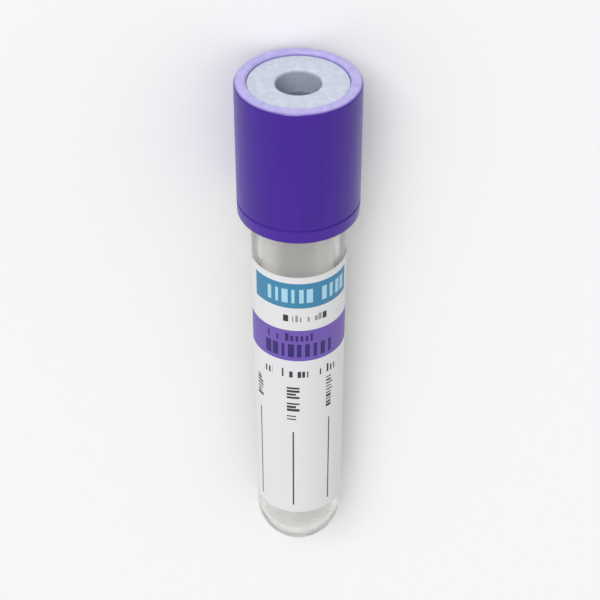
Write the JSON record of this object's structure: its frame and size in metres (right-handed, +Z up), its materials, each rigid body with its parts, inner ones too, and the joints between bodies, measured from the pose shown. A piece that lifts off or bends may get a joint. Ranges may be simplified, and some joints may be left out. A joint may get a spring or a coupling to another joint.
{
  "type": "blood collection tube",
  "caption": "Round-bottomed plastic blood tube lying on its side, with a paper label and a pull-off violet shield holding a grey rubber stopper.",
  "frame": {"origin": "on the ground under the middle of the part's bounding box, with the tube lying on its side", "axes": "+Y runs from the round bottom to the closure, along the ground and 2 degrees below the tube's own axis; +Z is up, through the middle of the label; +X is to the right with the closure away from the viewer"},
  "size_m": [0.0164, 0.0818, 0.0171],
  "materials": {
    "tube_plastic": "moulded PET, clear with a grey haze",
    "label_paper": "coated white paper with blue, violet and black print",
    "stopper_rubber": "moulded grey butyl rubber, matt",
    "shield_plastic": "moulded violet polypropylene, satin to gloss"
  },
  "bodies": {
    "tube_body": {"tube": "tube_plastic", "label": "label_paper"},
    "closure": {"stopper": "stopper_rubber", "shield": "shield_plastic"}
  },
  "joints": [
    {"name": "closure_pull", "type": "slide", "parent": "tube_body", "child": "closure", "axis": [0, 0.9994, 0.0348], "range_m": [0, 0.025]}
  ]
}
